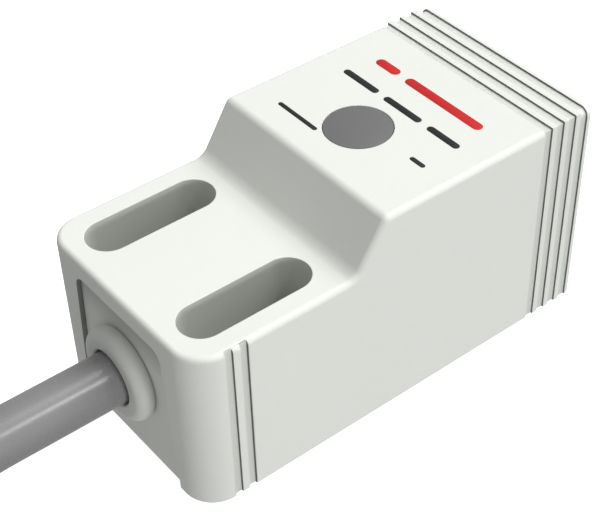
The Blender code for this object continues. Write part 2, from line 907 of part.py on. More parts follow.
# Bare leads at the far end, lying side by side on the turns below them.
LEAD_RADIUS = 0.65
last_swept = TURNS * ROWS + EXTRA
lap_length = 2 * STRAIGHT + 2 * math.pi * (HANK_IN + PITCH * EXTRA)
end_distance = HANK_IN + PITCH * EXTRA
for name, finish_material, across, up, aside in (
    ("lead_brown", BROWN, -0.8, -0.4, 0.6),
    ("lead_black", BLACK, 0.0, 0.8, 2.4),
    ("lead_blue", BLUE, 0.8, -0.4, 4.2),
):
    path = []
    for t in (0.0, 0.07, 0.15, 0.25, 0.35, 0.45, 0.6, 0.8, 1.0):
        out = 0.3 + 34.0 * t
        x, y = lap(
            STRAIGHT,
            last_swept + out / lap_length,
            end_distance + across + (aside - across) * ease(t / 0.4),
        )
        lie = HANK_TOP + LEAD_RADIUS + 0.05
        path.append((x, y, top_z + up + (lie - top_z - up) * ease((t - 0.12) / 0.45)))
    smooth_path = [
        Vector((q.x, q.y, max(q.z, HANK_TOP + LEAD_RADIUS + 0.02)))
        for q in curve_through(path, 18)
    ]
    wire(name, smooth_path, LEAD_RADIUS, finish_material)
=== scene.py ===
import json
import math

import bmesh
import bpy
from mathutils import Matrix, Vector


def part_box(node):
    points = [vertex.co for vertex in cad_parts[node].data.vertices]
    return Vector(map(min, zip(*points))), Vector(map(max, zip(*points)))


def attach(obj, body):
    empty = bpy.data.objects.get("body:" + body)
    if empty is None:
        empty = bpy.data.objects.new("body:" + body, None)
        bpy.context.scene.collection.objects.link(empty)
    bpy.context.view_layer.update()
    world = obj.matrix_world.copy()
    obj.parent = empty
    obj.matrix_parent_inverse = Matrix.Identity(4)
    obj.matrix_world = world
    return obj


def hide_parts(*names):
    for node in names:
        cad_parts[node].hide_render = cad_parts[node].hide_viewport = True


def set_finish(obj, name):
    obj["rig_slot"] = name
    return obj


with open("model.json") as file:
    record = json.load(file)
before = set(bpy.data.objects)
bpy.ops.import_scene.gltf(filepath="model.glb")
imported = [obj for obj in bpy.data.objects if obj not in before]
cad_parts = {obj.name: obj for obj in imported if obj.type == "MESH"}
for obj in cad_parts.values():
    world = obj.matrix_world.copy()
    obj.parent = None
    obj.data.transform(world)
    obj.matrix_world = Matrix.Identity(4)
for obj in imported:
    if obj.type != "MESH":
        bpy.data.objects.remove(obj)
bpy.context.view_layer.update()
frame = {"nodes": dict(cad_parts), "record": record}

MM = 0.001
MOUNTS = {m["name"]: m for m in frame["record"]["mounts"]}

body_low, body_high = (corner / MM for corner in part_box("housing"))
REAR, FRONT = body_low.x, body_high.x
LENGTH, WIDTH, HIGH = FRONT - REAR, body_high.y - body_low.y, body_high.z
LOW = MOUNTS["screw_seat"]["pos_m"][2] / MM
ring_low, ring_high = (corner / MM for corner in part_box("cable_grommet"))
CABLE_Z = (ring_low.z + ring_high.z) / 2
GROMMET_OUT = REAR - ring_low.x
GROMMET_RADIUS = (ring_high.z - ring_low.z) / 2
lens_low, lens_high = (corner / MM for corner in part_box("indicator_window"))
WINDOW_X = (lens_low.x + lens_high.x) / 2

SLOPE_FOOT, SLOPE_TOP = 13.5, 16.05
REAR_CORNER, TOP_EDGE = 2.5, 0.45
FOOT_RADIUS, CREST_RADIUS = 1.2, 0.7
GROOVE_FRONT = (31.6, 32.8, 34.0, 35.2)
GROOVE_WIDE, GROOVE_DEEP = 0.68, 0.16
LIP_CORNER, LIP_EDGE = 0.7, 0.7
SIDE_GROOVES = ((2.6, 3.2), (3.8, 4.4))
SIDE_GROOVE_DEEP = 0.2
SLOT_ENDS, SLOT_Y, SLOT_RADIUS, SLOT_RIM = (3.25, 10.25), 5.53, 1.72, 0.04
RECESS_TOP, RECESS_HALF_TOP, RECESS_HALF_BASE, RECESS_CORNER = 12.6, 5.05, 5.87, 1.0
PANEL_SET_BACK, PANEL_THICK, PANEL_GAP = 0.34, 0.8, 0.08
BASE_THICK = 1.1
CHANNEL_HALF, CHANNEL_TOP = 3.1, 12.2
CHAMBER, CHAMBER_HALF, CHAMBER_TOP = (12.8, 34.7), 7.7, 16.8
WINDOW_RADIUS = 2.54
GROMMET_TUBE, BORE = 0.8, 2.13
CABLE_RADIUS, CABLE_LENGTH = 2.0, 2000.0

collection = bpy.context.scene.collection


# ---------------------------------------------------------------- materials
class Graph:
    """A material's node tree, with short calls to add nodes to it."""

    def __init__(self, name):
        self.material = bpy.data.materials.new(name)
        self.material.use_nodes = True
        self.tree = self.material.node_tree
        self.shader = self.tree.nodes["Principled BSDF"]

    def node(self, kind, **settings):
        made = self.tree.nodes.new(kind)
        for key, value in settings.items():
            setattr(made, key, value)
        return made

    def link(self, source, target):
        self.tree.links.new(source, target)

    def coordinates(self, scale=(1, 1, 1)):
        where = self.node("ShaderNodeTexCoord")
        mapping = self.node("ShaderNodeMapping")
        mapping.inputs["Scale"].default_value = scale
        self.link(where.outputs["Object"], mapping.inputs["Vector"])
        return mapping.outputs["Vector"]

    def noise(self, scale, detail=2.0, roughness=0.5, vector=None):
        made = self.node("ShaderNodeTexNoise")
        made.inputs["Scale"].default_value = scale
        made.inputs["Detail"].default_value = detail
        made.inputs["Roughness"].default_value = roughness
        self.link(vector or self.coordinates(), made.inputs["Vector"])
        return made.outputs["Fac"]

    def ramp(self, factor, stops):
        made = self.node("ShaderNodeValToRGB")
        ramp = made.color_ramp
        while len(ramp.elements) < len(stops):
            ramp.elements.new(0.5)
        for element, (position, colour) in zip(ramp.elements, stops):
            element.position = position
            element.color = (*colour, 1.0) if hasattr(colour, "__len__") else (colour,) * 3 + (1.0,)
        self.link(factor, made.inputs["Fac"])
        return made.outputs["Color"]

    def between(self, factor, low, high):
        """factor 0..1 mapped to low..high."""
        made = self.node("ShaderNodeMapRange")
        made.inputs["To Min"].default_value = low
        made.inputs["To Max"].default_value = high
        self.link(factor, made.inputs["Value"])
        return made.outputs["Result"]

    def mix(self, factor, a, b):
        made = self.node("ShaderNodeMix", data_type="RGBA")
        if hasattr(factor, "links"):
            self.link(factor, made.inputs[0])
        else:
            made.inputs[0].default_value = factor
        for socket, value in ((made.inputs[6], a), (made.inputs[7], b)):
            if hasattr(value, "links"):
                self.link(value, socket)
            else:
                socket.default_value = (*value, 1.0)
        return made.outputs[2]

    def bump(self, height, distance, strength=1.0, normal=None):
        made = self.node("ShaderNodeBump")
        made.inputs["Strength"].default_value = strength
        made.inputs["Distance"].default_value = distance
        self.link(height, made.inputs["Height"])
        if normal is not None:
            self.link(normal, made.inputs["Normal"])
        return made.outputs["Normal"]

    def set(self, **values):
        names = {
            "colour": "Base Color",
            "roughness": "Roughness",
            "metallic": "Metallic",
            "specular": "Specular IOR Level",
            "normal": "Normal",
            "coat": "Coat Weight",
            "coat_roughness": "Coat Roughness",
            "subsurface": "Subsurface Weight",
            "ior": "IOR",
        }
        for key, value in values.items():
            socket = self.shader.inputs[names[key]]
            if hasattr(value, "links"):
                self.link(value, socket)
            elif hasattr(value, "__len__"):
                socket.default_value = (*value, 1.0)
            else:
                socket.default_value = value
        return self


def scaled(colour, k):
    return tuple(c * k for c in colour)


def moulded(
    name, colour, roughness=0.45, mottle=0.02, grain=900.0, depth=0.000012, specular=0.5, painted_shade=None
):
    """Injection-moulded plastic: a faint cloudy colour variation, and the fine even grain of a sparked mould.

    An optional painted shade darkens the colour with height: two heights in metres and a share; the colour falls to
    that share of itself between the heights.
    """
    g = Graph(name)
    cloud = g.noise(90.0, 3.0, 0.55)
    fine = g.noise(grain, 2.0, 0.6)
    coarse = g.noise(grain * 0.22, 2.0, 0.5)
    base = g.ramp(cloud, [(0.3, scaled(colour, 1 - mottle)), (0.7, scaled(colour, 1 + mottle * 0.6))])
    speck = g.ramp(fine, [(0.2, scaled(colour, 0.97)), (0.5, colour)])
    shade = g.mix(0.35, base, speck)
    # Painted shade: the colour darkens between two heights.
    if painted_shade:
        split = g.node("ShaderNodeSeparateXYZ")
        g.link(g.coordinates(), split.inputs[0])
        height = g.node("ShaderNodeMapRange")
        height.inputs["From Min"].default_value = painted_shade[0]
        height.inputs["From Max"].default_value = painted_shade[1]
        g.link(split.outputs["Z"], height.inputs["Value"])
        shade = g.mix(height.outputs["Result"], shade, scaled(colour, painted_shade[2]))
    normal = g.bump(fine, depth)
    normal = g.bump(coarse, depth * 1.5, normal=normal)
    g.set(
        colour=shade,
        roughness=g.between(coarse, roughness - 0.04, roughness + 0.05),
        specular=specular,
        normal=normal,
    )
    return g.material


def extruded_plastic(name, colour, roughness=0.3, streak=0.05, specular=0.5):
    """An extruded cable jacket or insulation: faint cloudy tone, and a soft waviness left by the die."""
    g = Graph(name)
    cloud = g.noise(140.0, 4.0, 0.6)
    fine = g.noise(1600.0, 2.0, 0.5)
    wave = g.noise(260.0, 1.0, 0.4)
    shade = g.ramp(cloud, [(0.3, scaled(colour, 1 - streak)), (0.7, scaled(colour, 1 + streak))])
    normal = g.bump(wave, 0.000006, 0.6)
    normal = g.bump(fine, 0.000001, normal=normal)
    g.set(
        colour=shade,
        roughness=g.between(fine, roughness - 0.01, roughness + 0.02),
        specular=specular,
        normal=normal,
    )
    return g.material


def drawn_metal(name, colour, roughness=0.3, stretch=(1, 1, 1)):
    """Bare metal with fine drawing or rolling marks."""
    g = Graph(name)
    marks = g.noise(2200.0, 3.0, 0.6, g.coordinates(stretch))
    cloud = g.noise(300.0, 3.0, 0.5)
    g.set(
        colour=g.ramp(cloud, [(0.3, scaled(colour, 0.86)), (0.7, scaled(colour, 1.05))]),
        metallic=1.0,
        roughness=g.between(marks, roughness - 0.08, roughness + 0.12),
        normal=g.bump(marks, 0.000006),
    )
    return g.material


def ink(name, colour):
    """Pad-printed ink: slightly uneven, a little glossier than the plastic under it."""
    g = Graph(name)
    fine = g.noise(2600.0, 3.0, 0.6)
    broad = g.noise(420.0, 2.0, 0.5)
    g.set(
        colour=g.ramp(broad, [(0.3, scaled(colour, 0.88)), (0.7, scaled(colour, 1.1))]),
        roughness=g.between(fine, 0.42, 0.54),
        specular=0.22,
        normal=g.bump(fine, 0.000004),
    )
    return g.material


def laminate(name):
    """Green glass-epoxy board: solder mask over copper tracks, with the weave showing faintly."""
    g = Graph(name)
    weave = g.node("ShaderNodeTexBrick")
    weave.inputs["Scale"].default_value = 900.0
    weave.inputs["Mortar Size"].default_value = 0.08
    g.link(g.coordinates(), weave.inputs["Vector"])
    tracks = g.node("ShaderNodeTexBrick")
    tracks.inputs["Scale"].default_value = 260.0
    tracks.inputs["Mortar Size"].default_value = 0.03
    tracks.inputs["Mortar Smooth"].default_value = 0.2
    g.link(g.coordinates(), tracks.inputs["Vector"])
    over = g.ramp(tracks.outputs["Fac"], [(0.3, (0.012, 0.13, 0.045)), (0.6, (0.05, 0.27, 0.09))])
    g.set(
        colour=g.mix(0.12, over, weave.outputs["Color"]),
        roughness=g.between(weave.outputs["Fac"], 0.3, 0.42),
        normal=g.bump(tracks.outputs["Fac"], 0.00002),
        coat=0.3,
    )
    return g.material


def sintered(name, colour, roughness=0.6):
    """Pressed and fired ferrite or ceramic: fine speckle and tiny pits."""
    g = Graph(name)
    fine = g.noise(3200.0, 4.0, 0.7)
    pits = g.node("ShaderNodeTexVoronoi")
    pits.inputs["Scale"].default_value = 1800.0
    g.link(g.coordinates(), pits.inputs["Vector"])
    g.set(
        colour=g.ramp(fine, [(0.35, scaled(colour, 0.7)), (0.65, scaled(colour, 1.4))]),
        roughness=g.between(fine, roughness - 0.06, roughness + 0.1),
        normal=g.bump(pits.outputs["Distance"], 0.00001),
    )
    return g.material


def wound(name, colour):
    """Layers of enamelled wire side by side, wound round the X axis."""
    g = Graph(name)
    turns = g.node("ShaderNodeTexWave", wave_type="BANDS", bands_direction="X")
    turns.inputs["Scale"].default_value = 1300.0
    turns.inputs["Distortion"].default_value = 0.6
    g.link(g.coordinates(), turns.inputs["Vector"])
    height = turns.outputs["Fac"]
    g.set(
        colour=g.ramp(height, [(0.0, scaled(colour, 0.35)), (0.6, colour)]),
        metallic=0.9,
        roughness=g.between(height, 0.45, 0.25),
        normal=g.bump(height, 0.00004),
        coat=0.6,
    )
    return g.material


OFF_WHITE = moulded("off_white_moulding", (0.826, 0.85, 0.797), 0.52, specular=0.35)
# Slot walls: a darker copy of the moulding, painted shade inside the slots.
SLOT_WALL_PAINTED_SHADE = moulded("slot_wall_painted_shade", (0.62, 0.637, 0.597), 0.6)
# Groove front walls: a nearly black copy of the moulding, painted shade in the narrow grooves.
GROOVE_WALL_PAINTED_SHADE = moulded("groove_wall_painted_shade", (0.16, 0.17, 0.155), 0.75, specular=0.25)
# Groove floors: a slightly darker copy of the moulding, painted shade on the floors of the grooves.
GROOVE_FLOOR_PAINTED_SHADE = moulded("groove_floor_painted_shade", (0.72, 0.74, 0.695), 0.56, specular=0.35)
# Recess walls: a dark grey copy of the moulding, painted shade in the gap round the cover panel.
RECESS_WALL_PAINTED_SHADE = moulded("recess_wall_painted_shade", (0.29, 0.306, 0.281), 0.8, specular=0.2)
# The cover's colour darkens to 0.6 of itself from 9.6 to 12.2 mm up: painted shade under the rim of the recess.
COVER_WHITE_AND_PAINTED_SHADE = moulded("cover_moulding", (0.8, 0.824, 0.772), 0.5, painted_shade=(0.0096, 0.0122, 0.6))
GROMMET_WHITE = moulded("grommet_moulding", (0.72, 0.743, 0.698), 0.42, 0.02, 1100.0)
SMOKED = moulded("smoked_light_pipe", (0.162, 0.162, 0.162), 0.38, 0.02, 1400.0, 0.000006)
JACKET_GREY = extruded_plastic("grey_jacket", (0.25, 0.246, 0.251), 0.27, 0.02, 0.6)
BROWN = extruded_plastic("brown_wire", (0.16, 0.06, 0.025), 0.34)
BLUE = extruded_plastic("blue_wire", (0.02, 0.09, 0.42), 0.34)
BLACK = extruded_plastic("black_wire", (0.018, 0.018, 0.02), 0.34)
TINNED = drawn_metal("tinned_strand", (0.72, 0.70, 0.66), 0.32)
NATURAL_NYLON = moulded("natural_nylon", (0.72, 0.72, 0.68), 0.4, 0.04, 800.0)
RED_INK = ink("red_ink", (0.62, 0.02, 0.02))
DARK_INK = ink("dark_ink", (0.022, 0.022, 0.024))
INSIDE = {
    "cable_inner_jacket": JACKET_GREY,
    "core_wire_brown": BROWN,
    "core_wire_blue": BLUE,
    "core_wire_black": BLACK,
    "circuit_board": laminate("board"),
    "oscillator_ic": sintered("chip_epoxy", (0.02, 0.02, 0.022), 0.5),
    "output_transistor": sintered("transistor_epoxy", (0.022, 0.022, 0.024), 0.5),
    "protection_diode": sintered("diode_epoxy", (0.02, 0.02, 0.021), 0.5),
    "filter_capacitor": moulded("tantalum_body", (0.55, 0.33, 0.05), 0.45, 0.05),
    "resistor_a": sintered("resistor_glaze_a", (0.05, 0.05, 0.06), 0.35),
    "resistor_b": sintered("resistor_glaze_b", (0.05, 0.05, 0.06), 0.35),
    "indicator_led": moulded("lamp_body", (0.75, 0.72, 0.6), 0.4, 0.03),
    "core_holder": moulded("black_holder", (0.04, 0.04, 0.045), 0.5, 0.05),
    "ferrite_core": sintered("fired_ferrite", (0.06, 0.06, 0.065), 0.6),
    "coil_bobbin": moulded("bobbin_nylon", (0.6, 0.58, 0.5), 0.45, 0.04),
    "coil_winding": wound("winding", (0.5, 0.16, 0.06)),
    "coil_lead_a": drawn_metal("enamelled_lead_a", (0.5, 0.16, 0.06), 0.28),
    "coil_lead_b": drawn_metal("enamelled_lead_b", (0.5, 0.16, 0.06), 0.28),
    "shield_ring": drawn_metal("rolled_brass", (0.6, 0.45, 0.19), 0.34, (0.1, 1, 1)),
    "cable_clamp": drawn_metal("plated_steel", (0.6, 0.6, 0.58), 0.34, (1, 0.2, 0.2)),
    "resin_plug": extruded_plastic("black_resin", (0.02, 0.02, 0.02), 0.18),
}
for node_name, look in INSIDE.items():
    slots = frame["nodes"][node_name].data.materials
    if len(slots):
        slots[0] = look
    else:
        slots.append(look)


# ---------------------------------------------------------------- mesh work
def arc_corner(before, corner, after, radius, segments):
    """Points of an arc that rounds one corner of an outline."""
    a = (Vector(before) - Vector(corner)).normalized()
    b = (Vector(after) - Vector(corner)).normalized()
    half = a.angle(b) / 2
    middle = Vector(corner) + (a + b).normalized() * (radius / math.sin(half))
    reach = radius / math.tan(half)
    u = Vector(corner) + a * reach - middle
    v = Vector(corner) + b * reach - middle
    turn = u.angle(v)
    return [
        tuple(
            middle
            + (u * math.sin((1 - k / segments) * turn) + v * math.sin(k / segments * turn))
            / math.sin(turn)
        )
        for k in range(segments + 1)
    ]


def outline(corners):
    """An outline from (x, y, radius, segments) corners."""
    points = []
    for i, (x, y, radius, segments) in enumerate(corners):
        if radius > 0:
            after = corners[(i + 1) % len(corners)][:2]
            points += arc_corner(corners[i - 1][:2], (x, y), after, radius, segments)
        else:
            points.append((x, y))
    return points


def obround(ends, y, radius, segments=32):
    points = []
    for end, side in ((ends[1], -1), (ends[0], 1)):
        for k in range(segments + 1):
            t = side * math.pi / 2 + math.pi * k / segments
            points.append((end + radius * math.cos(t), y + radius * math.sin(t)))
    return points


WHERE = {
    "xz": lambda a, b, c: (a, c, b),
    "yz": lambda a, b, c: (c, a, b),
    "xy": lambda a, b, c: (a, b, c),
}


def lofted(loops, plane):
    """A closed mesh through loops of the same number of points: each is (points, position across the plane)."""
    bm = bmesh.new()
    rings = [
        [bm.verts.new(WHERE[plane](a, b, at)) for a, b in points] for points, at in loops
    ]
    for low, high in zip(rings, rings[1:]):
        for k in range(len(low)):
            j = (k + 1) % len(low)
            bm.faces.new((low[k], low[j], high[j], high[k]))
    for ring in (rings[0], rings[-1]):
        bm.faces.new(ring)
    bmesh.ops.recalc_face_normals(bm, faces=bm.faces)
    return bm


def extruded(points, plane, low, high):
    return lofted([(points, low), (points, high)], plane)


def box(x0, x1, y0, y1, z0, z1):
    return extruded([(x0, y0), (x1, y0), (x1, y1), (x0, y1)], "xy", z0, z1)


def disc(axis, centre, radius, low, high, segments=96):
    points = [
        (
            centre[0] + radius * math.cos(2 * math.pi * k / segments),
            centre[1] + radius * math.sin(2 * math.pi * k / segments),
        )
        for k in range(segments)
    ]
    return extruded(points, "yz" if axis == "x" else "xy", low, high)


def bevel(bm, chosen, width, segments):
    bmesh.ops.bevel(
        bm,
        geom=chosen,
        offset=width,
        segments=segments,
        profile=0.5,
        affect="EDGES",
        clamp_overlap=True,
    )


def turned(profile, axis, centre, steps=128):
    """A closed (radius, along) profile swept round an axis, as a bmesh. A radius of 0 is a point on the axis."""
    bm = bmesh.new()

    def at(radius, along, angle):
        u, v = radius * math.cos(angle), radius * math.sin(angle)
        if axis == "x":
            return (centre[0] + along, centre[1] + u, centre[2] + v)
        return (centre[0] + u, centre[1] + v, centre[2] + along)

    rings = []
    for radius, along in profile:
        if radius == 0:
            rings.append([bm.verts.new(at(0, along, 0))] * steps)
        else:
            rings.append(
                [bm.verts.new(at(radius, along, 2 * math.pi * k / steps)) for k in range(steps)]
            )
    for low, high in zip(rings, rings[1:] + rings[:1]):
        if low[0] is low[1] and high[0] is high[1]:
            continue
        for k in range(steps):
            j = (k + 1) % steps
            corners = []
            for vert in (low[k], low[j], high[j], high[k]):
                if vert not in corners:
                    corners.append(vert)
            bm.faces.new(corners)
    bmesh.ops.recalc_face_normals(bm, faces=bm.faces)
    return bm


def raw(bm, name="tool"):
    mesh = bpy.data.meshes.new(name)
    bm.to_mesh(mesh)
    bm.free()
    obj = bpy.data.objects.new(name, mesh)
    collection.objects.link(obj)
    return obj


def carved(base, steps, edge=0.05, angle=35, segments=2):
    """base (a bmesh) with each (kind, bmesh) of steps joined or cut, then every sharp edge eased. Returns a mesh in millimetres."""
    obj = raw(base, "base")
    tools = []
    for kind, tool in steps:
        tools.append(raw(tool))
        step = obj.modifiers.new("step", "BOOLEAN")
        step.operation, step.solver, step.object = kind, "EXACT", tools[-1]
    if edge:
        ease_edges = obj.modifiers.new("ease", "BEVEL")
        ease_edges.width = edge
        ease_edges.segments = segments
        ease_edges.limit_method = "ANGLE"
        ease_edges.angle_limit = math.radians(angle)
        ease_edges.use_clamp_overlap = False
        ease_edges.miter_outer = "MITER_ARC"
    graph = bpy.context.evaluated_depsgraph_get()
    mesh = bpy.data.meshes.new_from_object(obj.evaluated_get(graph))
    for extra in [obj, *tools]:
        data = extra.data
        bpy.data.objects.remove(extra)
        bpy.data.meshes.remove(data)
    return mesh


def piece(name, made, look, replaced=(), slot=None, sharp=30, weighted=True):
    """A piece of the object from a mesh or bmesh in millimetres."""
    if isinstance(made, bmesh.types.BMesh):
        mesh = bpy.data.meshes.new(name)
        made.to_mesh(mesh)
        made.free()
    else:
        mesh = made
    mesh.name = name
    mesh.transform(Matrix.Scale(MM, 4))
    mesh.materials.clear()
    mesh.materials.append(look)
    mesh.shade_smooth()
    mesh.set_sharp_from_angle(angle=math.radians(sharp))
    obj = bpy.data.objects.new(name, mesh)
    collection.objects.link(obj)
    if weighted:
        normals = obj.modifiers.new("normals", "WEIGHTED_NORMAL")
        normals.keep_sharp = True
        normals.weight = 80
    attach(obj, "root")
    if replaced:
        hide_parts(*replaced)
    if slot:
        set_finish(obj, slot)
    return obj


# ---------------------------------------------------------------- housing
body_end = GROOVE_FRONT[0] - GROOVE_WIDE
profile = outline(
    [
        (REAR, 0.0, 0, 0),
        (REAR + body_end, 0.0, 0, 0),
        (REAR + body_end, HIGH, 0, 0),
        (REAR + SLOPE_TOP, HIGH, CREST_RADIUS, 8),
        (REAR + SLOPE_FOOT, LOW, FOOT_RADIUS, 10),
        (REAR, LOW, 0, 0),
    ]
)
body = extruded(profile, "xz", -WIDTH / 2, WIDTH / 2)
upright = [
    e
    for e in body.edges
    if all(abs(v.co.x - REAR) < 1e-4 for v in e.verts)
    and abs(e.verts[0].co.z - e.verts[1].co.z) > 1
]
bevel(body, upright, REAR_CORNER, 18)
body.normal_update()


def is_top(face):
    return face.normal.z > 0.2


def is_wall(face):
    return abs(face.normal.z) < 0.1 and face.normal.x < 0.5


rims = [
    e
    for e in body.edges
    if len(e.link_faces) == 2
    and (
        (is_top(e.link_faces[0]) and is_wall(e.link_faces[1]))
        or (is_top(e.link_faces[1]) and is_wall(e.link_faces[0]))
    )
]
bevel(body, rims, TOP_EDGE, 6)
for s in (SIDE_GROOVES[0][0] - 0.04, 3.5, SIDE_GROOVES[1][1] + 0.04, 6.0, 9.0, 12.0):
    bmesh.ops.bisect_plane(
        body,
        geom=body.verts[:] + body.edges[:] + body.faces[:],
        dist=1e-5,
        plane_co=(REAR + s, 0, 0),
        plane_no=(1, 0, 0),
    )


def section(half, top, corner):
    """The sensing end's outline across the body."""
    return outline(
        [
            (-half, 0.0, 0, 0),
            (half, 0.0, 0, 0),
            (half, top, corner, 14),
            (-half, top, corner, 14),
        ]
    )


steps = []
last_land = GROOVE_FRONT[3] - GROOVE_WIDE
for corner, start, end in (
    (0, body_end - 0.5, last_land - 0.1),
    (LIP_CORNER - GROOVE_DEEP, last_land - 0.1, GROOVE_FRONT[3] + 0.2),
):
    steps.append(
        (
            "UNION",
            extruded(
                section(WIDTH / 2 - GROOVE_DEEP, HIGH - GROOVE_DEEP, corner),
                "yz",
                REAR + start,
                REAR + end,
            ),
        )
    )
for k, front in enumerate(GROOVE_FRONT[:3]):
    steps.append(
        (
            "UNION",
            extruded(
                section(WIDTH / 2, HIGH, 0),
                "yz",
                REAR + front,
                REAR + GROOVE_FRONT[k + 1] - GROOVE_WIDE,
            ),
        )
    )
lip = extruded(section(WIDTH / 2, HIGH, LIP_CORNER), "yz", REAR + GROOVE_FRONT[3], FRONT)
front_rim = [
    e
    for e in lip.edges
    if all(abs(v.co.x - FRONT) < 1e-4 for v in e.verts) and max(v.co.z for v in e.verts) > 0.01
]
bevel(lip, front_rim, LIP_EDGE, 10)
steps.append(("UNION", lip))

for side in (-1, 1):
    for s0, s1 in SIDE_GROOVES:
        y0, y1 = sorted((side * (WIDTH / 2 - SIDE_GROOVE_DEEP), side * (WIDTH / 2 + 1)))
        steps.append(("DIFFERENCE", box(REAR + s0, REAR + s1, y0, y1, -1, LOW + 1)))


def slot_tool(side):
    """A slot's cutter, which flares at the top to round the rim."""
    ends = [REAR + s for s in SLOT_ENDS]
    loops = [(obround(ends, side * SLOT_Y, SLOT_RADIUS + SLOT_RIM), -1.0)]
    for k in range(5):
        t = math.pi / 2 * k / 4
        grow = SLOT_RIM * (1 - math.sin(t))
        loops.append(
            (obround(ends, side * SLOT_Y, SLOT_RADIUS + grow), SLOT_RIM * (1 - math.cos(t)))
        )
    for k in range(5):
        t = math.pi / 2 * k / 4
        grow = SLOT_RIM * (1 - math.cos(t))
        loops.append(
            (
                obround(ends, side * SLOT_Y, SLOT_RADIUS + grow),
                LOW - SLOT_RIM * (1 - math.sin(t)),
            )
        )
    loops.append((obround(ends, side * SLOT_Y, SLOT_RADIUS + SLOT_RIM), LOW + 1))
    return lofted(loops, "xy")


for side in (-1, 1):
    steps.append(("DIFFERENCE", slot_tool(side)))


def recess(inset, top_inset, low):
    """The recess's outline across the body, drawn in by inset and running down to low."""
    slant = (RECESS_HALF_BASE - RECESS_HALF_TOP) / RECESS_TOP
    half_low = RECESS_HALF_BASE - slant * low - inset
    half_top = RECESS_HALF_TOP - inset
    top = RECESS_TOP - top_inset
    corner = RECESS_CORNER - inset
    return outline(
        [
            (-half_low, low, 0, 0),
            (half_low, low, 0, 0),
            (half_top, top, corner, 12),
            (-half_top, top, corner, 12),
        ]
    )


pocket = PANEL_SET_BACK + PANEL_THICK + 0.05
steps.append(("DIFFERENCE", extruded(recess(0, 0, -1.0), "yz", REAR - 1, REAR + pocket)))
steps.append(
    (
        "DIFFERENCE",
        box(
            REAR + pocket - 0.5,
            REAR + CHAMBER[0] + 0.5,
            -CHANNEL_HALF,
            CHANNEL_HALF,
            -1,
            CHANNEL_TOP,
        ),
    )
)
chamber = [
    (REAR + CHAMBER[0], -1.0),
    (REAR + CHAMBER[1], -1.0),
    (REAR + CHAMBER[1], CHAMBER_TOP),
    (REAR + 16.7, CHAMBER_TOP),
    (REAR + 14.0, CHAMBER_TOP - 4.0),
    (REAR + CHAMBER[0], CHAMBER_TOP - 4.0),
]
steps.append(("DIFFERENCE", extruded(chamber, "xz", -CHAMBER_HALF, CHAMBER_HALF)))
steps.append(
    (
        "DIFFERENCE",
        disc("z", (WINDOW_X, 0), WINDOW_RADIUS + 0.05, CHAMBER_TOP - 1, HIGH + 1),
    )
)
housing = piece(
    "housing_shell", carved(body, steps, 0.05), OFF_WHITE, ["housing"], "housing_plastic"
)
# The walls of the slots, the grooves and the recess, and the groove floors, get darker copies of the moulding: painted
# shade in these hollows.
for look in (SLOT_WALL_PAINTED_SHADE, GROOVE_WALL_PAINTED_SHADE, GROOVE_FLOOR_PAINTED_SHADE, RECESS_WALL_PAINTED_SHADE):
    housing.data.materials.append(look)
for face in housing.data.polygons:
    x, y, z = face.center / MM
    normal = face.normal
    along = x - REAR
    if (
        SLOT_ENDS[0] - 1.9 < along < SLOT_ENDS[1] + 1.9
        and abs(abs(y) - SLOT_Y) < 1.9
        and abs(normal.z) < 0.3
        and z < LOW
        and math.hypot(
            along - min(max(along, SLOT_ENDS[0]), SLOT_ENDS[1]), abs(y) - SLOT_Y
        )
        < SLOT_RADIUS + 0.1
    ):
        # painted shade on the slot walls
        face.material_index = 1
    elif normal.x < -0.5 and (
        any(abs(along - front) < 0.06 for front in GROOVE_FRONT)
        or (abs(y) > WIDTH / 2 - 0.3 and any(abs(along - end) < 0.06 for _, end in SIDE_GROOVES))
    ):
        # painted shade on the groove front walls
        face.material_index = 2
    elif (
        any(front - GROOVE_WIDE < along < front for front in GROOVE_FRONT)
        and (
            (abs(normal.y) > 0.9 and abs(y) < WIDTH / 2 - GROOVE_DEEP / 2)
            or (normal.z > 0.9 and z < HIGH - GROOVE_DEEP / 2)
        )
        and max(abs(y) - WIDTH / 2, z - HIGH) > -0.3
    ) or (
        any(start < along < end for start, end in SIDE_GROOVES)
        and abs(normal.y) > 0.9
        and WIDTH / 2 - 0.25 < abs(y) < WIDTH / 2 - SIDE_GROOVE_DEEP / 2
    ):
        # painted shade on the groove floors
        face.material_index = 3
    elif (
        0.0 < along < pocket + 0.1
        and abs(normal.x) < 0.4
        and abs(y) < RECESS_HALF_BASE + 0.1
        and z < RECESS_TOP + 0.1
    ):
        # painted shade on the recess walls
        face.material_index = 4

# ---------------------------------------------------------------- base cover
panel = extruded(
    recess(PANEL_GAP, PANEL_GAP, 0.0),
    "yz",
    REAR + PANEL_SET_BACK,
    REAR + PANEL_SET_BACK + PANEL_THICK,
)
stem = box(
    REAR + PANEL_SET_BACK + 0.3,
    REAR + CHAMBER[0] + 0.8,
    -CHANNEL_HALF + 0.1,
    CHANNEL_HALF - 0.1,
    0,
    BASE_THICK,
)
plate = box(
    REAR + CHAMBER[0] + 0.1,
    REAR + CHAMBER[1] - 0.1,
    -CHAMBER_HALF + 0.1,
    CHAMBER_HALF - 0.1,
    0,
    BASE_THICK,
)
cover = piece(
    "base_cover_moulding",
    carved(
        panel,
        [
            ("UNION", stem),
            ("UNION", plate),
            ("DIFFERENCE", disc("x", (0, CABLE_Z), 2.66, REAR - 1, REAR + 2)),
        ],
        0.05,
    ),
    COVER_WHITE_AND_PAINTED_SHADE,
    ["base_cover"],
    "cover_plastic",
)

